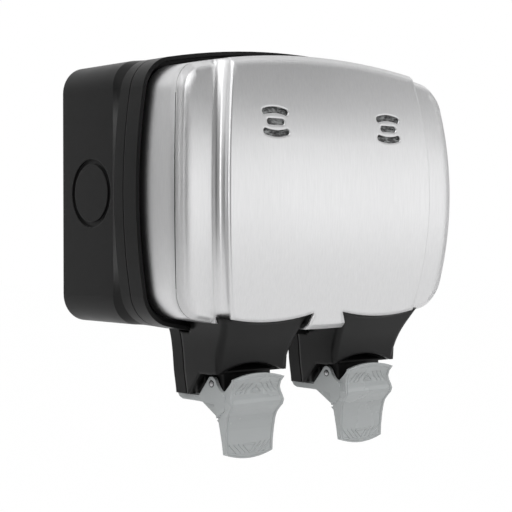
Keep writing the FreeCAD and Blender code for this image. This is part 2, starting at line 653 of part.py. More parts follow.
def build_front_frame():
    back = BOX_DEPTH + FRAME_GAP
    frame = extrude(frame_outline(back), FRAME_FACE - back)
    lip = extrude(frame_outline(FRAME_FACE), LIP_FRONT - FRAME_FACE)
    lip = lip.cut(extrude(frame_outline(FRAME_FACE, LIP_THICKNESS), LIP_FRONT - FRAME_FACE))
    for side in (-1, 1):
        lip = lip.cut(shroud_block(side * OUTLET_SPACING / 2, -1.0, FRAME_FACE, LIP_FRONT + 7))
    frame = frame.fuse(lip)
    start = BOX_DEPTH - SPIGOT_REACH + SEAL_THICKNESS
    outer = BOX_WALL + SPIGOT_CLEARANCE
    spigot = extrude(frame_outline(start, outer), back - start)
    spigot = spigot.cut(extrude(frame_outline(start, outer + SPIGOT_WALL), back - start))
    frame = frame.fuse(spigot)
    rim = BOX_DEPTH - SPIGOT_REACH
    for side in (-1, 1):
        for up in (-1, 1):
            frame = frame.fuse(rod_y(PILLAR_RADIUS, side * SCREW_X, up * SCREW_Z, rim, back))
    frame = frame.cut(slab(back - 1, FRAME_FACE + 1, PLATE_WIDTH + 0.8, PLATE_HEIGHT + 0.8, PLATE_CORNER))
    for side in (-1, 1):
        for up in (-1, 1):
            x, z = side * SCREW_X, up * SCREW_Z
            frame = frame.cut(rod_y(SCREW_RADIUS + SCREW_CLEARANCE, x, z, rim - 1, FRAME_FACE + 1))
            frame = frame.cut(rod_y(SCREW_HEAD_RADIUS + SCREW_CLEARANCE, x, z,
                                    FRAME_FACE - SCREW_HEAD_HEIGHT, FRAME_FACE + 1))
        cx = side * HINGE_X
        half = HINGE_EAR_WIDTH / 2
        ear = box(cx - half, cx + half, FRAME_FACE - 1, HINGE_DEPTH,
                  HINGE_Z - HINGE_NECK, HINGE_Z + HINGE_NECK)
        ear = ear.fuse(rod_x(HINGE_EAR_RADIUS, cx - half, cx + half, HINGE_DEPTH, HINGE_Z))
        frame = frame.fuse(ear)
        bore = HINGE_PIN_RADIUS + HINGE_RUNNING
        frame = frame.cut(rod_x(bore, cx - half, cx + half, HINGE_DEPTH, HINGE_Z))
    return frame.removeSplitter()


def build_box_seal():
    start = BOX_DEPTH - SPIGOT_REACH
    ring = extrude(frame_outline(start, BOX_WALL), SEAL_THICKNESS)
    ring = ring.cut(extrude(frame_outline(start, BOX_WALL + SEAL_WIDTH), SEAL_THICKNESS))
    for side in (-1, 1):
        for up in (-1, 1):
            ring = ring.cut(rod_y(PILLAR_RADIUS, side * SCREW_X, up * SCREW_Z,
                                  start, start + SEAL_THICKNESS))
    return ring


def screw(x, z, radius, head_radius, head_height, tip, seat):
    body = rod_y(radius, x, z, tip, seat).fuse(rod_y(head_radius, x, z, seat, seat + head_height))
    top = seat + head_height
    slot = box(x - head_radius * 0.7, x + head_radius * 0.7, top - 0.9, top, z - 0.45, z + 0.45)
    cross = box(x - 0.45, x + 0.45, top - 0.9, top, z - head_radius * 0.7, z + head_radius * 0.7)
    return body.cut(slot).cut(cross)


def build_frame_screws():
    rim = BOX_DEPTH - SPIGOT_REACH
    seat = FRAME_FACE - SCREW_HEAD_HEIGHT
    rows = [screw(a * SCREW_X, b * SCREW_Z, SCREW_RADIUS, SCREW_HEAD_RADIUS, SCREW_HEAD_HEIGHT,
                  rim - 13, seat) for a in (-1, 1) for b in (-1, 1)]
    return Part.makeCompound(rows)


def build_socket_plate():
    plate = slab(PLATE_REAR, PLATE_REAR + PLATE_THICKNESS, PLATE_WIDTH, PLATE_HEIGHT, PLATE_CORNER)
    front = PLATE_REAR + PLATE_THICKNESS
    rim = [e for e in plate.Edges if e.BoundBox.YMax < y(front - 0.01)]
    plate = plate.makeFillet(1.2, rim)
    for side in (-1, 1):
        cx = side * OUTLET_SPACING / 2
        for hand in (-1, 1):
            x = cx + hand * LINE_PIN_SPACING / 2
            plate = plate.cut(box(x - LINE_SLOT[0] / 2, x + LINE_SLOT[0] / 2, CUT_REAR, CUT_FRONT,
                                  PIN_LEVEL - LINE_SLOT[1] / 2, PIN_LEVEL + LINE_SLOT[1] / 2))
            rail = cx + hand * (SHUTTER_WIDTH / 2 + 0.3)
            x0, x1 = sorted((rail, rail + hand * SHUTTER_RAIL))
            plate = plate.fuse(box(x0, x1, PLATE_REAR - 3, PLATE_REAR, PIN_LEVEL - 14, PIN_LEVEL + 6))
        z = PIN_LEVEL + EARTH_PIN_RISE
        plate = plate.cut(box(cx - EARTH_SLOT[0] / 2, cx + EARTH_SLOT[0] / 2, CUT_REAR, CUT_FRONT,
                              z - EARTH_SLOT[1] / 2, z + EARTH_SLOT[1] / 2))
        rx = side * ROCKER_X
        half_w = ROCKER_WIDTH / 2 + ROCKER_GAP
        half_h = ROCKER_HEIGHT / 2 + ROCKER_GAP
        plate = plate.cut(box(rx - half_w, rx + half_w, CUT_REAR, CUT_FRONT,
                              ROCKER_Z - half_h, ROCKER_Z + half_h))
        for hand in (-1, 1):
            near = rx + hand * half_w
            x0, x1 = min(near, near + hand * 2), max(near, near + hand * 2)
            lug = box(x0, x1, ROCKER_PIVOT - 2.4, PLATE_REAR, ROCKER_Z - 2.4, ROCKER_Z + 2.4)
            plate = plate.fuse(lug)
        plate = plate.cut(rod_x(TRUNNION_RADIUS + 0.05, rx - 9, rx + 9, ROCKER_PIVOT, ROCKER_Z))
        plate = plate.cut(rod_y(PLATE_SCREW_RADIUS + 0.25, side * PLATE_SCREW_X, 0, CUT_REAR, CUT_FRONT))
        plate = plate.cut(rod_y(3.3, side * PLATE_SCREW_X, 0, front - 2, CUT_FRONT))
    return plate.cut(rod_y(NEON_RADIUS, NEON_X, ROCKER_Z, CUT_REAR, CUT_FRONT))


def build_rocker(side):
    x = side * ROCKER_X
    front = PLATE_REAR + PLATE_THICKNESS
    half = ROCKER_HEIGHT / 2 - 0.3
    points = [(ROCKER_PIVOT - 2.2, ROCKER_Z - 4), (ROCKER_PIVOT - 2.2, ROCKER_Z + 4),
              (PLATE_REAR - 0.5, ROCKER_Z + half), (front + 0.9, ROCKER_Z + half), (front - 0.2, ROCKER_Z),
              (front + 0.9, ROCKER_Z - half), (PLATE_REAR - 0.5, ROCKER_Z - half)]
    body = side_profile(points, x - ROCKER_WIDTH / 2, x + ROCKER_WIDTH / 2)
    body = body.fuse(rod_x(TRUNNION_RADIUS, x - ROCKER_WIDTH / 2 - 2.3, x + ROCKER_WIDTH / 2 + 2.3,
                           ROCKER_PIVOT, ROCKER_Z))
    body.rotate(V(x, y(ROCKER_PIVOT), ROCKER_Z), V(1, 0, 0), ROCKER_THROW_DEG / 2)
    return body


def build_shutter(side):
    cx = side * OUTLET_SPACING / 2
    half = SHUTTER_WIDTH / 2
    return box(cx - half, cx + half, PLATE_REAR - 2.6, PLATE_REAR - 0.4, PIN_LEVEL - 4, PIN_LEVEL + 4)


def build_socket_base():
    rear = PLATE_REAR - INSERT_DEPTH
    base = slab(rear, PLATE_REAR, INSERT_WIDTH, INSERT_HEIGHT, PLATE_CORNER)
    base = base.cut(slab(rear + INSERT_WALL, PLATE_REAR, INSERT_WIDTH - 2 * INSERT_WALL,
                         INSERT_HEIGHT - 2 * INSERT_WALL, PLATE_CORNER - INSERT_WALL))
    for z in (CONTACT_LINE_Z, CONTACT_NEUTRAL_Z, CONTACT_EARTH_Z):
        base = base.cut(rod_y(2.6, 0, z, rear - 1, rear + INSERT_WALL + 1))
    return base


def contact_bar(z_bar, clips, z_clip, upright):
    """A brass bar with a terminal block in the middle and a pair of spring leaves at each clip."""
    floor = PLATE_REAR - INSERT_DEPTH + INSERT_WALL
    xs = [x for x in clips] + [0]
    bar = box(min(xs) - 3, max(xs) + 3, floor + 3, floor + 5, z_bar - 1.5, z_bar + 1.5)
    block = box(-4, 4, floor, floor + 9, z_bar - 3.2, z_bar + 3.2)
    block = block.cut(rod_y(1.8, 0, z_bar, floor, floor + 9))
    shape = bar.fuse(block)
    for x in clips:
        low, high = min(z_bar, z_clip), max(z_bar, z_clip)
        shape = shape.fuse(box(x - 3, x + 3, floor + 3, floor + 5, low - 1.5, high + 1.5))
        for hand in (-1, 1):
            if upright:
                x0 = x + hand * 2.6 - 0.4
                leaf = box(x0, x0 + 0.8, floor + 4, floor + 14, z_clip - 3.6, z_clip + 3.6)
            else:
                z0 = z_clip + hand * 2.6 - 0.4
                leaf = box(x - 3, x + 3, floor + 4, floor + 14, z0, z0 + 0.8)
            shape = shape.fuse(leaf)
        shape = shape.fuse(box(x - 3, x + 3, floor + 3, floor + 5, z_clip - 3.0, z_clip + 3.0))
    return shape.removeSplitter()


def build_contacts(kind):
    half = OUTLET_SPACING / 2
    pin = LINE_PIN_SPACING / 2
    if kind == "line":
        return contact_bar(CONTACT_LINE_Z, (-half + pin, half + pin), PIN_LEVEL, False)
    if kind == "neutral":
        return contact_bar(CONTACT_NEUTRAL_Z, (-half - pin, half - pin), PIN_LEVEL, False)
    return contact_bar(CONTACT_EARTH_Z, (-half, half), PIN_LEVEL + EARTH_PIN_RISE, True)


def build_neon():
    front = PLATE_REAR + PLATE_THICKNESS
    lens = rod_y(NEON_RADIUS, NEON_X, ROCKER_Z, PLATE_REAR - 4, front + 0.2)
    return lens.fuse(rod_y(NEON_RADIUS + 1.0, NEON_X, ROCKER_Z, PLATE_REAR - 4, PLATE_REAR))


def build_plate_screws():
    front = PLATE_REAR + PLATE_THICKNESS
    rows = [screw(a * PLATE_SCREW_X, 0, PLATE_SCREW_RADIUS, 3.1, 1.9, PLATE_REAR - 15, front - 2)
            for a in (-1, 1)]
    return Part.makeCompound(rows)


def build_hinge_pin(side):
    cx = side * HINGE_X
    reach = HINGE_EAR_WIDTH / 2 + HINGE_SIDE_GAP + HINGE_KNUCKLE_WIDTH
    return rod_x(HINGE_PIN_RADIUS, cx - reach, cx + reach, HINGE_DEPTH, HINGE_Z)


LEVER_FRONT = [(14.7, 5.9), (14.7, 2.7), (13.0, 0.3), (12.2, -2.1), (12.3, -4.5), (13.1, -6.5),
               (13.5, -8.3), (12.9, -10.3), (11.1, -12.3), (9.6, -14.4), (8.8, -16.9), (8.2, -21.0),
               (7.8, -26.5), (7.8, -35.5)]
EAR_BACK = [(-25.1, -5.9), (-25.1, -2.4), (-22.8, -2.4), (-22.7, -5.1), (-22.1, -5.9), (-9.3, -5.9),
            (-2.9, 1.5), (-2.2, 2.6), (-1.2, 3.2), (0.0, 3.4), (1.5, 3.0), (2.7, 1.9), (3.7, -0.1),
            (5.3, -2.1), (7.4, -3.2)]
EAR_UNDER = [(3.4, -15.3), (1.7, -9.1), (-9.9, -8.6), (-21.3, -8.6), (-23.7, -7.7)]
LEVER_BACK = [(6.1, -35.5), (4.9, -25.5), (3.7, -18.0), (3.4, -15.3), (2.7, -10.5), (4.0, -6.0),
              (7.4, -3.2), (13.1, 2.1), (13.1, 5.9)]
EAR_WEB = [(-9.9, -8.5), (-9.9, -7.8), (4.5, -7.8), (5.5, -16.5), (3.7, -16.1)]
REAR_TAB = [(0.1, -16.7), (5.5, -15.4), (7.1, -17.7), (2.4, -18.5)]
LEVER_ROWS = [(2.7, 15.2), (0.1, 14.6), (-2.3, 14.6), (-4.9, 15.3), (-7.9, 16.0), (-10.5, 15.8),
              (-12.7, 15.3), (-14.9, 15.0), (-21.5, 14.5), (-27.5, 14.1), (-31.9, 13.9)]


def from_pivot(points):
    """Distances in front of and above the pivot of a latch, as depths and heights."""
    return [(PIVOT_DEPTH + ahead, PIVOT_Z + rise) for ahead, rise in points]


def lever_outline(cx, inset):
    """The lever seen from the front, with an arched top and bottom edge."""
    rows = [(PIVOT_Z + rise, half) for rise, half in LEVER_ROWS]
    top_z, top_w = rows[0]
    low_z, low_w = rows[-1]
    right = [(cx + w - inset, z) for z, w in rows]
    left = [(cx - w + inset, z) for z, w in reversed(rows)]
    steps = 10

    def arch(z, half, rise, sign):
        row = []
        for i in range(1, steps):
            t = sign * (1 - 2 * i / steps)
            row.append((cx + half * t, z + rise * (1 - t * t)))
        return row

    top = arch(top_z - inset, top_w - inset, LEVER_ARCH, -1)
    low = arch(low_z + inset, low_w - inset, -LEVER_ARCH, 1)
    right = [(x, min(max(z, low_z + inset), top_z - inset)) for x, z in right]
    left = [(x, min(max(z, low_z + inset), top_z - inset)) for x, z in left]
    return front_profile(top + right + low + left, CORE_REAR - 4, PANEL_FRONT)


def build_latch(side):
    cx = side * OUTLET_SPACING / 2
    w = LATCH_HALF_WIDTH
    lever = side_profile(from_pivot(LEVER_FRONT + LEVER_BACK), cx - w, cx + w)
    lever = lever.common(lever_outline(cx, 0.0))
    behind = [(ahead - LEVER_SKIN, rise) for ahead, rise in LEVER_FRONT]
    behind = side_profile(from_pivot(behind + [(-7.5, -35.5), (-7.5, 5.9)]), cx - w, cx + w)
    lever = lever.cut(behind.common(lever_outline(cx, LATCH_EAR)))
    inside = w - LATCH_EAR
    lever = lever.cut(box(cx - inside, cx + inside, CORE_REAR - 4, CORE_FRONT + LATCH_GAP,
                          SHROUD_FOOT - LATCH_SWING, PIVOT_Z + 6.5))
    latch = lever
    for hand in (-1, 1):
        x0, x1 = sorted((cx + hand * w, cx + hand * (w - LATCH_EAR)))
        ear = side_profile(from_pivot(EAR_BACK + [(9.0, -5.5), (9.0, -11.5)] + EAR_UNDER), x0, x1)
        latch = latch.fuse(ear)
        x0, x1 = sorted((cx + hand * (w - LATCH_EAR), cx + hand * (w - LATCH_EAR - 1.6)))
        latch = latch.fuse(side_profile(from_pivot(EAR_WEB), x0, x1))
    hook = EAR_BACK[:5] + [(-18.5, -6.1), (-18.5, -8.6)] + EAR_UNDER[3:]
    latch = latch.fuse(side_profile(from_pivot(hook), cx - w, cx + w))
    latch = latch.fuse(box(cx - w, cx + w, PIVOT_DEPTH - 7.5, PIVOT_DEPTH - 1.0,
                           PIVOT_Z - 8.6, PIVOT_Z - 6.8))
    latch = latch.fuse(side_profile(from_pivot(REAR_TAB), cx - w + 3, cx + w - 3))
    latch = latch.cut(rod_x(PIVOT_RADIUS, cx - w, cx + w, PIVOT_DEPTH, PIVOT_Z))
    return latch.removeSplitter()


def build_latch_pin(side):
    cx = side * OUTLET_SPACING / 2
    reach = LATCH_HALF_WIDTH + 0.2
    return rod_x(PIVOT_RADIUS, cx - reach, cx + reach, PIVOT_DEPTH, PIVOT_Z)


def build_cable_seal(side, rear):
    """A rubber pad across a shroud, with half of the opening for a flex."""
    cx = side * OUTLET_SPACING / 2
    bore = Part.makeCylinder(FLEX_RADIUS, 12, V(cx, y(SHROUD_SEAM - 0.3), SHROUD_FOOT), V(0, 0, 1))
    if rear:
        pad = shroud_block(cx, SHROUD_WALL, SHROUD_REAR + SHROUD_WALL, SHROUD_SEAM - 0.3)
    else:
        pad = box(cx - THROAT_HALF_WIDTH, cx + THROAT_HALF_WIDTH, SHROUD_SEAM, EAR_POCKET_REAR - 1,
                  SHROUD_FOOT, VEE_TOP)
    keep = box(cx - 30, cx + 30, SHROUD_REAR - 5, CUT_FRONT, SHROUD_FOOT + 1.5, SHROUD_FOOT + 7.5)
    return pad.common(keep).cut(bore)


def write(name, shape):
    if shape.isNull() or not shape.isValid():
        raise RuntimeError(name + " is not a sound shape")
    shape.exportStep("parts/" + name + ".step")


def build():
    os.makedirs("parts", exist_ok=True)
    write("back_box", build_back_box())
    write("box_seal", build_box_seal())
    write("front_frame", build_front_frame())
    write("frame_screws", build_frame_screws())
    write("socket_plate", build_socket_plate())
    write("socket_base", build_socket_base())
    write("neon", build_neon())
    write("plate_screws", build_plate_screws())
    for kind in ("line", "neutral", "earth"):
        write("contacts_" + kind, build_contacts(kind))
    write("lid_shell", build_lid_shell())
    write("lid_cover", build_lid_cover())
    write("lid_seal", build_lid_seal())
    for side, word in ((-1, "left"), (1, "right")):
        write("rocker_" + word, build_rocker(side))
        write("shutter_" + word, build_shutter(side))
        write("hinge_pin_" + word, build_hinge_pin(side))
        write("lens_" + word, build_lens(side * OUTLET_SPACING / 2))
        write("latch_" + word, build_latch(side))
        write("latch_pin_" + word, build_latch_pin(side))
        write("cable_seal_rear_" + word, build_cable_seal(side, True))
        write("cable_seal_front_" + word, build_cable_seal(side, False))


build()
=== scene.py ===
"""Looks of the weatherproof twin socket: camera, light, materials and fine surface detail."""

import bpy
import math
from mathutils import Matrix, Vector
from mathutils.bvhtree import BVHTree


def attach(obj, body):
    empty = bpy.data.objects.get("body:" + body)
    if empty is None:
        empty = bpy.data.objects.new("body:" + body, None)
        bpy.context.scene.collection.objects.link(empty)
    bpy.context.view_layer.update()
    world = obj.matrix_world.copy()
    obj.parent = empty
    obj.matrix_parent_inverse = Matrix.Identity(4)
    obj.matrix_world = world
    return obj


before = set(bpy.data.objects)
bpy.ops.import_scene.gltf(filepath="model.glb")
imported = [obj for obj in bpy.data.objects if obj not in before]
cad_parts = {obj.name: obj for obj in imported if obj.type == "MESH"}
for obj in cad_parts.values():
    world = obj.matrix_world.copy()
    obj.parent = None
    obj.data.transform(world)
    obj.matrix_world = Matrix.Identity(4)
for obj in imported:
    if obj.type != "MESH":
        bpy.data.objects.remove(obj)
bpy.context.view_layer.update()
scene = bpy.context.scene

MM = 0.001

# Camera, as fitted to the photograph
CAMERA_AT = (-0.4410, -0.5504, -0.01627)
CAMERA_PITCH = 88.86
CAMERA_YAW = -40.72
FOCAL_PIXELS = 1372.35
PHOTO_PIXELS = 512
SENSOR = 36.0
NEAR_CLIP = 0.01

# Studio: the sky's soft light, the white floor, the lamps and the cards that the steel reflects
SKY_LOW = (0.38, 0.38, 0.385, 1)
SKY_HIGH = (1.0, 1.0, 1.0, 1)
SKY_LOW_AT = 0.30
SKY_HIGH_AT = 0.80
FLOOR_HALF = 6.0
FLOOR_Z = -0.32
FLOOR_COLOUR = (0.85, 0.85, 0.85, 1)
FLOOR_GLOW = 0.985
PART_MIDDLE = (0, -0.05, 0)
LAMPS = {
    "key": dict(at=(-1.60, -1.23, 0.2), aim=(-0.04, -0.08, 0), width=0.34, height=1.8, watts=6),
    "front": dict(at=(1.9, -2.0, -0.2), aim=PART_MIDDLE, width=2.4, height=2.2, watts=6),
    "top": dict(at=(-0.5, -1.0, 1.5), aim=(0, -0.05, -0.05), width=1.3, height=1.0, watts=14),
}
CARDS = {
    "card_above": dict(at=(0.85, -1.45, 0.95), aim=PART_MIDDLE, width=1.9, height=1.1, shade=0.45),
    "card_front": dict(at=(-0.25, -1.33, 0.0), aim=PART_MIDDLE, width=1.25, height=1.6, shade=0.01),
    "card_side": dict(at=(-1.30, -0.17, -0.22), aim=(0, -0.05, -0.22), width=0.95, height=1.25, shade=0.02),
    "card_back": dict(at=(-1.3, 0.85, 0.0), aim=PART_MIDDLE, width=1.2, height=1.6, shade=0.50),
}

# Plastics and rubber: darkest and lightest tone, least and most roughness, share of the grain's
# depth, and where it isn't the usual one, the shine and the radius of the softened edges
BLACK = ((0.0045, 0.0045, 0.0046, 1), (0.0065, 0.0065, 0.0066, 1))
# Painted shade: the tone of the dark ring that stands for the shaded gap round each pivot pin
GAP_SHADE_BLACK = ((0.010, 0.010, 0.010, 1), (0.014, 0.014, 0.014, 1))
GREY = ((0.356, 0.373, 0.375, 1), (0.366, 0.383, 0.385, 1))
WHITE = ((0.755, 0.755, 0.745, 1), (0.775, 0.775, 0.765, 1))
INSERT_WHITE = ((0.52, 0.52, 0.51, 1), (0.56, 0.56, 0.55, 1))
RUBBER_BLACK = ((0.020, 0.020, 0.020, 1), (0.032, 0.032, 0.032, 1))
PLASTICS = {
    "black_moulding": dict(tones=BLACK, rough=(0.34, 0.44), grain=0.35, shine=0.15),
    "lid_moulding": dict(tones=BLACK, rough=(0.28, 0.36), grain=0.35, shine=0.18, edge=1.8 * MM),
    # Painted shade: a dark ring round each pivot pin in place of the shaded gap
    "pivot_gap_shade": dict(tones=GAP_SHADE_BLACK, rough=(0.5, 0.6), grain=0.2),
    "latch_moulding": dict(tones=GREY, rough=(0.26, 0.28), grain=0.18, shine=0.8, edge=0.4 * MM),
    "lever_marks": dict(tones=GREY, rough=(0.26, 0.28), grain=0.18, shine=0.8, edge=0.08 * MM),
    "socket_moulding": dict(tones=WHITE, rough=(0.27, 0.31), grain=0.06),
    "insert_moulding": dict(tones=INSERT_WHITE, rough=(0.47, 0.53), grain=0.20),
    "seal_rubber": dict(tones=RUBBER_BLACK, rough=(0.65, 0.8), grain=0.5),
}
PLASTIC_GRAIN = 0.1 * MM

# Metals and window: the tones, how far a turning mark darkens and roughens, and the fine relief
METALS = {
    "pin_steel": dict(colour=(0.55, 0.55, 0.56), rough=0.28),
    "screw_zinc": dict(colour=(0.62, 0.62, 0.60), rough=0.30),
    "contact_brass": dict(colour=(0.78, 0.57, 0.25), rough=0.25),
}
METAL_DARKEST = 0.82
METAL_SCATTER = 0.12
METAL_EDGE = 0.2 * MM
METAL_GRAIN = 0.05 * MM
METAL_GRAIN_SHARE = 0.15
LENS_EDGE = 0.6 * MM
FACET_HEIGHT = 0.6 * MM
FACET_SHARE = 0.8

# Ranges of a noise or a mask that are carried over to tones and roughness
WHOLE = (0, 1)
MOST = (0.3, 0.7)

# Brushed cover: its tones, how softly it is folded, and the seam between its front and its band, painted as
# a dark line of shade
STEEL_DARK = (0.63, 0.63, 0.635, 1)
STEEL_LIGHT = (0.70, 0.70, 0.705, 1)
# Painted shade: the near-black colour of the shaded line in the seam
SEAM_SHADE_COLOUR = (0.05, 0.05, 0.05, 1)
STEEL_ROUGH = (0.30, 0.34)
STEEL_GRAIN = 0.04 * MM
STEEL_GRAIN_SHARE = 0.06
STEEL_FOLD = 1.2 * MM
STEEL_BEAD = 7.0 * MM
STEEL_ROLL = 4.0 * MM
ROLL_START_Z = 46.0 * MM
ROLL_END_Z = 60.0 * MM
BEAD_START_X = 74.0 * MM
SEAM_START_Z = 58.0 * MM
SEAM_DEPTH = 86.2 * MM
SEAM_BOW = 270.0 * MM
SEAM_WIDTH = 0.25 * MM

# Marks on the levers: a raised border, and at each end an arrow with slanted lines beside it,
# whose places are counted from that end. The border's line across an end is found by a ray that
# meets the lever there, so far in front of the pivot.
RIM_INSET = 1.3 * MM
RIM_WIDTH = 0.5 * MM
RIM_END = 3.2 * MM
RIM_SINK = 0.4 * MM
RIM_ROWS = 22
RIM_TURNS = 12
RIM_TOP_DEPTH = 13.9 * MM
RIM_FOOT_DEPTH = 7.4 * MM
PROBE_CLEAR = 10.0 * MM
MARK_WIDTH = 0.45 * MM
MARK_HEIGHT = 0.3 * MM
MARK_ROOT = 0.25 * MM
MARK_STEP = 0.8 * MM
# The section of a raised line: across it as a share of its width, and out from the lever's face
MARK_SECTION = ((0.75, -MARK_ROOT), (0.4, MARK_HEIGHT), (-0.4, MARK_HEIGHT), (-0.75, -MARK_ROOT))
HATCH_STEP = 2.7 * MM
HATCH_LEAN = 4.2 * MM
HATCH_START = 2.6 * MM
HATCH_COUNT = 3
TOP_ARROW = dict(base=8.6 * MM, tip=5.8 * MM, half=2.8 * MM)
TOP_HATCH = dict(outer=9.0 * MM, inner=4.6 * MM)
FOOT_ARROW = dict(base=6.4 * MM, tip=2.6 * MM, half=4.0 * MM)
FOOT_HATCH = dict(outer=7.0 * MM, inner=2.8 * MM)

# Ends of the pivot pins and the dark ring of painted shade round them: radius and reach past the end, both
# in mm
CAP_PROFILE = ((0.25, 0.30), (0.70, 0.25), (1.00, 0.12), (1.10, -0.10))
GAP_SHADE_PROFILE = ((1.22, 0.04), (1.65, 0.04), (1.65, -0.10), (1.22, -0.10))
TURN_STEPS = 28


def pair(name):
    return [name + "_left", name + "_right"]


WORN_BY = {
    "black_moulding": ["back_box", "front_frame"],
    "lid_moulding": ["lid_shell"],
    "brushed_cover": ["lid_cover"],
    "socket_moulding": ["socket_plate"] + pair("rocker"),
    "insert_moulding": ["socket_base"] + pair("shutter"),
    "neon_red": ["neon"],
    "screw_zinc": ["frame_screws", "plate_screws"],
    "contact_brass": ["contacts_line", "contacts_neutral", "contacts_earth"],
    "seal_rubber": ["box_seal", "lid_seal"] + pair("cable_seal_rear") + pair("cable_seal_front"),
    "pin_steel": pair("hinge_pin") + pair("latch_pin"),
    "latch_moulding": pair("latch"),
    "lens_clear": pair("lens"),
}


def add_mesh(name, verts, faces, mat):
    mesh = bpy.data.meshes.new(name)
    mesh.from_pydata(verts, [], faces)
    mesh.materials.append(mat)
    obj = bpy.data.objects.new(name, mesh)
    scene.collection.objects.link(obj)
    return obj


def add_sheet(name, half_width, half_height, z, mat):
    """A flat rectangle round its own origin, at one height."""
    w, h = half_width, half_height
    return add_mesh(name, [(-w, -h, z), (w, -h, z), (w, h, z), (-w, h, z)], [(0, 1, 2, 3)], mat)


def point(obj, at, aim):
    """Puts a lamp or a card in its place, with its lit side towards the aim."""
    obj.location = at
    obj.rotation_euler = (Vector(aim) - Vector(at)).to_track_quat("-Z", "Y").to_euler()


def make_camera():
    data = bpy.data.cameras.new("camera")
    data.sensor_width = SENSOR
    data.lens = SENSOR * FOCAL_PIXELS / PHOTO_PIXELS
    data.clip_start = NEAR_CLIP
    cam = bpy.data.objects.new("camera", data)
    cam.location = CAMERA_AT
    cam.rotation_euler = (math.radians(CAMERA_PITCH), 0, math.radians(CAMERA_YAW))
    scene.collection.objects.link(cam)
    scene.camera = cam


def sees_white(nodes, links):
    """One for camera, mirror and glass rays, which see a white studio, and zero for the rest."""
    path = nodes.new("ShaderNodeLightPath")
    total = path.outputs["Is Camera Ray"]
    for kind in ("Is Glossy Ray", "Is Transmission Ray"):
        add = nodes.new("ShaderNodeMath")
        add.operation = "MAXIMUM"
        links.new(total, add.inputs[0])
        links.new(path.outputs[kind], add.inputs[1])
        total = add.outputs[0]
    return total


def make_world():
    """White where it is seen, and for the rest a soft light that is brighter from above."""
    world = bpy.data.worlds.new("studio")
    scene.world = world
    world.use_nodes = True
    nodes, links = world.node_tree.nodes, world.node_tree.links
    nodes.clear()
    out = nodes.new("ShaderNodeOutputWorld")
    coord = nodes.new("ShaderNodeTexCoord")
    split = nodes.new("ShaderNodeSeparateXYZ")
    ramp = nodes.new("ShaderNodeValToRGB")
    soft = nodes.new("ShaderNodeBackground")
    white = nodes.new("ShaderNodeBackground")
    mix = nodes.new("ShaderNodeMixShader")
    share = nodes.new("ShaderNodeMath")
    share.operation = "MULTIPLY_ADD"
    share.inputs[1].default_value = 0.5
    share.inputs[2].default_value = 0.5
    low, high = ramp.color_ramp.elements
    low.position = SKY_LOW_AT
    low.color = SKY_LOW
    high.position = SKY_HIGH_AT
    high.color = SKY_HIGH
    white.inputs["Color"].default_value = (1, 1, 1, 1)
    links.new(coord.outputs["Generated"], split.inputs[0])
    links.new(split.outputs["Z"], share.inputs[0])
    links.new(share.outputs[0], ramp.inputs["Fac"])
    links.new(ramp.outputs["Color"], soft.inputs["Color"])
    links.new(sees_white(nodes, links), mix.inputs["Fac"])
    links.new(soft.outputs[0], mix.inputs[1])
    links.new(white.outputs[0], mix.inputs[2])
    links.new(mix.outputs[0], out.inputs["Surface"])


def area_light(name, at, aim, width, height, watts):
    data = bpy.data.lights.new(name, "AREA")
    data.shape = "RECTANGLE"
    data.size = width
    data.size_y = height
    data.energy = watts
    lamp = bpy.data.objects.new(name, data)
    point(lamp, at, aim)
    scene.collection.objects.link(lamp)


def floor_white():
    """A pale diffuse floor that shows as almost pure white where it is seen."""
    mat = bpy.data.materials.new("floor_white")
    mat.use_nodes = True
    nodes, links = mat.node_tree.nodes, mat.node_tree.links
    nodes.clear()
    out = nodes.new("ShaderNodeOutputMaterial")
    glow = nodes.new("ShaderNodeEmission")
    plain = nodes.new("ShaderNodeBsdfDiffuse")
    mix = nodes.new("ShaderNodeMixShader")
    plain.inputs["Color"].default_value = FLOOR_COLOUR
    glow.inputs["Strength"].default_value = 1.0
    seen = nodes.new("ShaderNodeMath")
    seen.operation = "MULTIPLY"
    seen.inputs[1].default_value = FLOOR_GLOW
    links.new(sees_white(nodes, links), seen.inputs[0])
    links.new(seen.outputs[0], mix.inputs["Fac"])
    links.new(plain.outputs[0], mix.inputs[1])
    links.new(glow.outputs[0], mix.inputs[2])
    links.new(mix.outputs[0], out.inputs["Surface"])
    return mat


def make_stage():
    floor = add_sheet("floor", FLOOR_HALF, FLOOR_HALF, FLOOR_Z, floor_white())


def studio_card(name, at, aim, width, height, shade):
    """A plain card that the steel reflects as a softer tone, and that no camera sees."""
    mat = bpy.data.materials.new(name)
    mat.use_nodes = True
    paint = mat.node_tree.nodes["Principled BSDF"]
    paint.inputs["Base Color"].default_value = (shade, shade, shade, 1)
    paint.inputs["Roughness"].default_value = 1.0
    card = add_sheet(name, width / 2, height / 2, 0, mat)
    point(card, at, aim)
    card.visible_camera = False


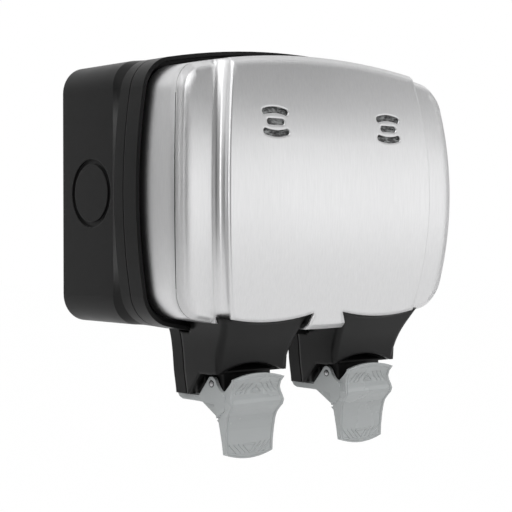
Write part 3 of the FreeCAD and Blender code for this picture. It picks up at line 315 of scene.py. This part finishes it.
class Shader:
    """A small helper that keeps a material's nodes and links short to write.

    A value is a number, a colour or another node's result, and a range is its low and high end.
    """

    def __init__(self, name):
        self.mat = bpy.data.materials.new(name)
        self.mat.use_nodes = True
        self.nodes = self.mat.node_tree.nodes
        self.links = self.mat.node_tree.links
        self.bsdf = self.nodes["Principled BSDF"]
        self.coord = self.nodes.new("ShaderNodeTexCoord")

    def feed(self, value, socket):
        if isinstance(value, bpy.types.NodeSocket):
            self.links.new(value, socket)
        else:
            socket.default_value = value

    def to(self, value, socket):
        self.feed(value, self.bsdf.inputs[socket])

    def mapped(self, stretch):
        node = self.nodes.new("ShaderNodeMapping")
        node.inputs["Scale"].default_value = stretch
        self.links.new(self.coord.outputs["Object"], node.inputs["Vector"])
        return node.outputs["Vector"]

    def place(self):
        """The three coordinates of a point of the piece, in metres."""
        split = self.nodes.new("ShaderNodeSeparateXYZ")
        self.links.new(self.coord.outputs["Object"], split.inputs[0])
        return split.outputs

    def noise(self, size, stretch=(1, 1, 1), detail=3.0, rough=0.55):
        node = self.nodes.new("ShaderNodeTexNoise")
        node.inputs["Scale"].default_value = size
        node.inputs["Detail"].default_value = detail
        node.inputs["Roughness"].default_value = rough
        self.links.new(self.mapped(stretch), node.inputs["Vector"])
        return node.outputs["Fac"]

    def cells(self, size, stretch):
        node = self.nodes.new("ShaderNodeTexVoronoi")
        node.inputs["Scale"].default_value = size
        self.links.new(self.mapped(stretch), node.inputs["Vector"])
        return node.outputs["Distance"]

    def span(self, value, source, result):
        """Carries one range over to another, and keeps to its ends."""
        node = self.nodes.new("ShaderNodeMapRange")
        node.inputs["From Min"].default_value = source[0]
        node.inputs["From Max"].default_value = source[1]
        node.inputs["To Min"].default_value = result[0]
        node.inputs["To Max"].default_value = result[1]
        self.links.new(value, node.inputs["Value"])
        return node.outputs["Result"]

    def math(self, operation, first, second=0.0):
        node = self.nodes.new("ShaderNodeMath")
        node.operation = operation
        self.feed(first, node.inputs[0])
        self.feed(second, node.inputs[1])
        return node.outputs[0]

    def blend(self, factor, low, high):
        node = self.nodes.new("ShaderNodeMix")
        node.data_type = "RGBA"
        self.feed(low, node.inputs["A"])
        self.feed(high, node.inputs["B"])
        self.feed(factor, node.inputs["Factor"])
        return node.outputs["Result"]

    def rounded(self, radius):
        """Edges softened by a radius, which may change over the piece."""
        node = self.nodes.new("ShaderNodeBevel")
        node.samples = 8
        self.feed(radius, node.inputs["Radius"])
        return node.outputs["Normal"]

    def bump(self, height, strength, distance, normal):
        node = self.nodes.new("ShaderNodeBump")
        node.inputs["Strength"].default_value = strength
        node.inputs["Distance"].default_value = distance
        self.links.new(height, node.inputs["Height"])
        self.links.new(normal, node.inputs["Normal"])
        return node.outputs["Normal"]


def plastic(name, tones, rough, grain, shine=0.5, edge=0.5 * MM):
    """Moulded plastic: a fine spark-eroded grain, faint mottling and softened edges."""
    s = Shader(name)
    s.bsdf.inputs["Specular IOR Level"].default_value = shine
    mottle = s.noise(45.0, detail=4.0)
    s.to(s.blend(s.span(mottle, (0.35, 0.65), WHOLE), *tones), "Base Color")
    s.to(s.span(mottle, MOST, rough), "Roughness")
    fine = s.noise(2600.0, detail=2.0, rough=0.7)
    s.to(s.bump(fine, grain, PLASTIC_GRAIN, s.rounded(edge)), "Normal")
    return s.mat


def metal(name, colour, rough):
    """Plain metal with faint turning marks."""
    s = Shader(name)
    s.bsdf.inputs["Metallic"].default_value = 1.0
    turned = s.noise(900.0)
    dark = tuple(c * METAL_DARKEST for c in colour)
    s.to(s.blend(turned, dark + (1,), colour + (1,)), "Base Color")
    s.to(s.span(turned, MOST, (rough, rough + METAL_SCATTER)), "Roughness")
    s.to(s.bump(turned, METAL_GRAIN_SHARE, METAL_GRAIN, s.rounded(METAL_EDGE)), "Normal")
    return s.mat


def steel_bead(s):
    """One on the outer beads of the cover, at its left and right, and zero between them."""
    return s.math("GREATER_THAN", s.math("ABSOLUTE", s.place()["X"]), BEAD_START_X)


def steel_seam_shade(s, bead):
    """One on the bowed line where the front pressing meets the band, which is painted dark as shade, and
    zero elsewhere.
    """
    at = s.place()
    top = s.math("GREATER_THAN", s.math("ABSOLUTE", at["Z"]), SEAM_START_Z)
    bow = s.math("DIVIDE", s.math("MULTIPLY", at["Z"], at["Z"]), 2 * SEAM_BOW)
    away = s.math("ABSOLUTE", s.math("SUBTRACT", s.math("ADD", at["Y"], SEAM_DEPTH), bow))
    line = s.math("LESS_THAN", away, SEAM_WIDTH)
    return s.math("MULTIPLY", line, s.math("MAXIMUM", bead, top))


def steel_softness(s, bead):
    """The radius that softens the cover's edges: small, larger on the beads and at both ends."""
    height = s.math("ABSOLUTE", s.place()["Z"])
    roll = s.span(height, (ROLL_START_Z, ROLL_END_Z), (STEEL_FOLD, STEEL_ROLL))
    return s.math("MAXIMUM", s.span(bead, WHOLE, (STEEL_FOLD, STEEL_BEAD)), roll)


def brushed_steel(name):
    """Brushed sheet: fine vertical scratches at two scales over a slow change in roughness, with a
    near-black line of painted shade along the seam.
    """
    s = Shader(name)
    s.bsdf.inputs["Metallic"].default_value = 1.0
    hair = s.noise(3400.0, stretch=(1, 1, 0.05), rough=0.75)
    streak = s.noise(1500.0, stretch=(1, 1, 0.06), detail=4.0, rough=0.6)
    slow = s.noise(14.0, stretch=(1, 1, 0.5), rough=0.5)
    tone = s.math("ADD", s.math("MULTIPLY", hair, 0.6), s.span(streak, MOST, (0.05, 0.35)))
    sheet = s.blend(s.span(tone, (0.25, 0.75), WHOLE), STEEL_DARK, STEEL_LIGHT)
    bead = steel_bead(s)
    # Painted shade: the seam line is coloured near-black in place of the shade in the gap
    s.to(s.blend(steel_seam_shade(s, bead), sheet, SEAM_SHADE_COLOUR), "Base Color")
    s.to(s.span(slow, MOST, STEEL_ROUGH), "Roughness")
    softness = s.rounded(steel_softness(s, bead))
    s.to(s.bump(hair, STEEL_GRAIN_SHARE, STEEL_GRAIN, softness), "Normal")
    return s.mat


def clear_plastic(name):
    """Smoky window plastic with a prismatic back, dark with a few lighter facets."""
    s = Shader(name)
    s.bsdf.inputs["Roughness"].default_value = 0.12
    s.bsdf.inputs["IOR"].default_value = 1.49
    s.bsdf.inputs["Transmission Weight"].default_value = 0.25
    tint = s.span(s.noise(330.0, stretch=(1, 1, 2.5), detail=2.0), (0.42, 0.66), WHOLE)
    s.to(s.blend(tint, (0.022, 0.023, 0.024, 1), (0.30, 0.31, 0.31, 1)), "Base Color")
    facets = s.cells(420.0, stretch=(1, 1, 2.2))
    s.to(s.bump(facets, FACET_SHARE, FACET_HEIGHT, s.rounded(LENS_EDGE)), "Normal")
    return s.mat


def red_lens(name):
    s = Shader(name)
    s.bsdf.inputs["Roughness"].default_value = 0.15
    s.bsdf.inputs["Transmission Weight"].default_value = 0.4
    tint = s.noise(800.0, detail=2.0)
    s.to(s.blend(tint, (0.42, 0.02, 0.015, 1), (0.62, 0.05, 0.03, 1)), "Base Color")
    return s.mat


def solid_tree(node):
    """A search tree of one CAD node in world space, to set fine marks on its faces."""
    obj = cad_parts[node]
    verts = [obj.matrix_world @ v.co for v in obj.data.vertices]
    return BVHTree.FromPolygons(verts, [p.vertices for p in obj.data.polygons])


def box_of(node):
    """The lowest and the highest corner of one CAD node in world space."""
    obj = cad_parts[node]
    corners = [obj.matrix_world @ Vector(c) for c in obj.bound_box]
    low = Vector([min(c[k] for c in corners) for k in range(3)])
    high = Vector([max(c[k] for c in corners) for k in range(3)])
    return low, high


def middle(node):
    low, high = box_of(node)
    return (low + high) / 2


def half_width(node):
    low, high = box_of(node)
    return (high.x - low.x) / 2


def along(points, closed):
    """A polyline in X and Z cut into short steps, so that it can follow a curved face."""
    ends = points[1:] + points[:1] if closed else points[1:]
    row = []
    for (x0, z0), (x1, z1) in zip(points, ends):
        count = max(1, math.ceil(math.hypot(x1 - x0, z1 - z0) / MARK_STEP))
        for i in range(count):
            row.append((x0 + (x1 - x0) * i / count, z0 + (z1 - z0) * i / count))
    return row if closed else row + points[-1:]


class Marks:
    """Raised lines that follow the front of one lever, gathered into one mesh."""

    def __init__(self, side):
        self.tree = solid_tree("latch_" + side)
        self.low, self.high = box_of("latch_" + side)
        self.pivot = middle("latch_pin_" + side)
        self.verts = []
        self.faces = []

    def probe(self, start, towards):
        return self.tree.ray_cast(Vector(start), Vector(towards))[0]

    def face_at(self, x, z):
        """The front of the lever at one place, as a Y value."""
        return self.probe((x, self.low.y - PROBE_CLEAR, z), (0, 1, 0)).y

    def line(self, points, width, closed=False):
        row = along(points, closed)
        first = len(self.verts)
        count = len(row)
        for i, (x, z) in enumerate(row):
            ahead = row[(i + 1) % count] if closed or i + 1 < count else row[i]
            behind = row[i - 1] if closed or i else row[i]
            dx, dz = ahead[0] - behind[0], ahead[1] - behind[1]
            size = math.hypot(dx, dz)
            nx, nz = -dz / size, dx / size
            face = self.face_at(x, z)
            for reach, rise in MARK_SECTION:
                self.verts.append((x + nx * width * reach, face - rise, z + nz * width * reach))
        corners = len(MARK_SECTION)
        for i in range(count if closed else count - 1):
            a, b = first + corners * i, first + corners * ((i + 1) % count)
            for k in range(corners):
                j = (k + 1) % corners
                self.faces.append((a + k, a + j, b + j, b + k))
        if not closed:
            last = first + corners * (count - 1)
            self.faces.append(tuple(range(first, first + corners))[::-1])
            self.faces.append(tuple(range(last, last + corners)))

    def rim_end(self, half, depth, sense):
        """The border's line across the lever's top, where sense is 1, or its foot, where it is -1."""
        start = self.high.z + PROBE_CLEAR if sense > 0 else self.low.z - PROBE_CLEAR
        row = []
        for i in range(1, RIM_TURNS):
            x = self.pivot.x + sense * half * (1 - 2 * i / RIM_TURNS)
            edge = self.probe((x, self.pivot.y - depth, start), (0, 0, -sense))
            row.append((x, edge.z - sense * RIM_INSET))
        return row

    def rim(self):
        """The closed line of the raised border, a little inside the edge of the lever."""
        cx = self.pivot.x
        foot, top = self.low.z + RIM_END, self.high.z - RIM_END
        sides = []
        for i in range(RIM_ROWS + 1):
            z = foot + (top - foot) * i / RIM_ROWS
            inside = self.face_at(cx, z) + RIM_SINK
            edge = self.probe((self.high.x + PROBE_CLEAR, inside, z), (-1, 0, 0))
            sides.append((edge.x - cx - RIM_INSET, z))
        right = [(cx + w, z) for w, z in sides]
        left = [(cx - w, z) for w, z in reversed(sides)]
        across_top = self.rim_end(sides[-1][0], RIM_TOP_DEPTH, 1)
        across_foot = self.rim_end(sides[0][0], RIM_FOOT_DEPTH, -1)
        return right + across_top + left + across_foot

    def arrow(self, end, inward, base, tip, half):
        cx = self.pivot.x
        z_base, z_tip = end + inward * base, end + inward * tip
        self.line([(cx - half, z_base), (cx + half, z_base), (cx, z_tip)], MARK_WIDTH, closed=True)

    def hatch(self, end, inward, outer, inner):
        """Slanted lines on both sides of an arrow, mirrored about the middle of the lever."""
        cx = self.pivot.x
        for hand in (-1, 1):
            for i in range(HATCH_COUNT):
                x = HATCH_START + i * HATCH_STEP
                start = (cx + hand * (x + HATCH_LEAN), end + inward * outer)
                stop = (cx + hand * x, end + inward * inner)
                self.line([start, stop], MARK_WIDTH)

    def draw(self):
        self.line(self.rim(), RIM_WIDTH, closed=True)
        self.arrow(self.high.z, -1, **TOP_ARROW)
        self.hatch(self.high.z, -1, **TOP_HATCH)
        self.arrow(self.low.z, 1, **FOOT_ARROW)
        self.hatch(self.low.z, 1, **FOOT_HATCH)

    def build(self, name, mat):
        return add_mesh(name, self.verts, self.faces, mat)


def mark_levers(mat):
    """The border, arrows and grip lines on both levers."""
    for side in ("left", "right"):
        marks = Marks(side)
        marks.draw()
        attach(marks.build("lever_marks_" + side, mat), "latch_" + side[0])


def turned_pair(name, pivot, half, profile, ring, mat):
    """Two turned forms about a pivot axis, each half a width from its middle, as one mesh."""
    verts, faces = [], []
    rows = len(profile)
    for hand in (-1, 1):
        first = len(verts)
        for radius, out in profile:
            for i in range(TURN_STEPS):
                turn = math.tau * i / TURN_STEPS
                verts.append((pivot.x + hand * (half + out * MM), pivot.y + radius * MM * math.cos(turn),
                              pivot.z + radius * MM * math.sin(turn)))
        for k in range(rows if ring else rows - 1):
            for i in range(TURN_STEPS):
                j = (i + 1) % TURN_STEPS
                a, b = first + k * TURN_STEPS, first + (k + 1) % rows * TURN_STEPS
                faces.append((a + i, b + i, b + j, a + j)[::hand])
        if not ring:
            last = first + (rows - 1) * TURN_STEPS
            faces.append(tuple(range(first, first + TURN_STEPS))[::hand])
            faces.append(tuple(range(last, last + TURN_STEPS))[::-hand])
    return add_mesh(name, verts, faces, mat)


def cap_pivots(pin, gap_shade):
    """The rounded steel ends of the pivot pins, and round each a dark ring of painted shade in the gap."""
    for side in ("left", "right"):
        pivot = middle("latch_pin_" + side)
        reach = half_width("latch_pin_" + side)
        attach(turned_pair("pivot_ends_" + side, pivot, reach, CAP_PROFILE, False, pin), "lid")
        reach = half_width("latch_" + side)
        # Painted shade: a thin dark ring on the lever where the gap round the pin lies in shade
        ring = turned_pair("pivot_shade_ring_" + side, pivot, reach, GAP_SHADE_PROFILE, True, gap_shade)
        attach(ring, "latch_" + side[0])


def dress():
    """Gives every CAD node its material and adds the fine pieces."""
    looks = {name: plastic(name, **values) for name, values in PLASTICS.items()}
    looks.update({name: metal(name, **values) for name, values in METALS.items()})
    looks["brushed_cover"] = brushed_steel("brushed_cover")
    looks["lens_clear"] = clear_plastic("lens_clear")
    looks["neon_red"] = red_lens("neon_red")
    for name, nodes in WORN_BY.items():
        for node in nodes:
            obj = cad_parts[node]
            obj.data.materials.clear()
            obj.data.materials.append(looks[name])
    mark_levers(looks["lever_marks"])
    cap_pivots(looks["pin_steel"], looks["pivot_gap_shade"])


make_camera()
make_world()
make_stage()
for name, lamp in LAMPS.items():
    area_light(name, **lamp)
for name, card in CARDS.items():
    studio_card(name, **card)
dress()
scene.view_settings.view_transform = "Standard"
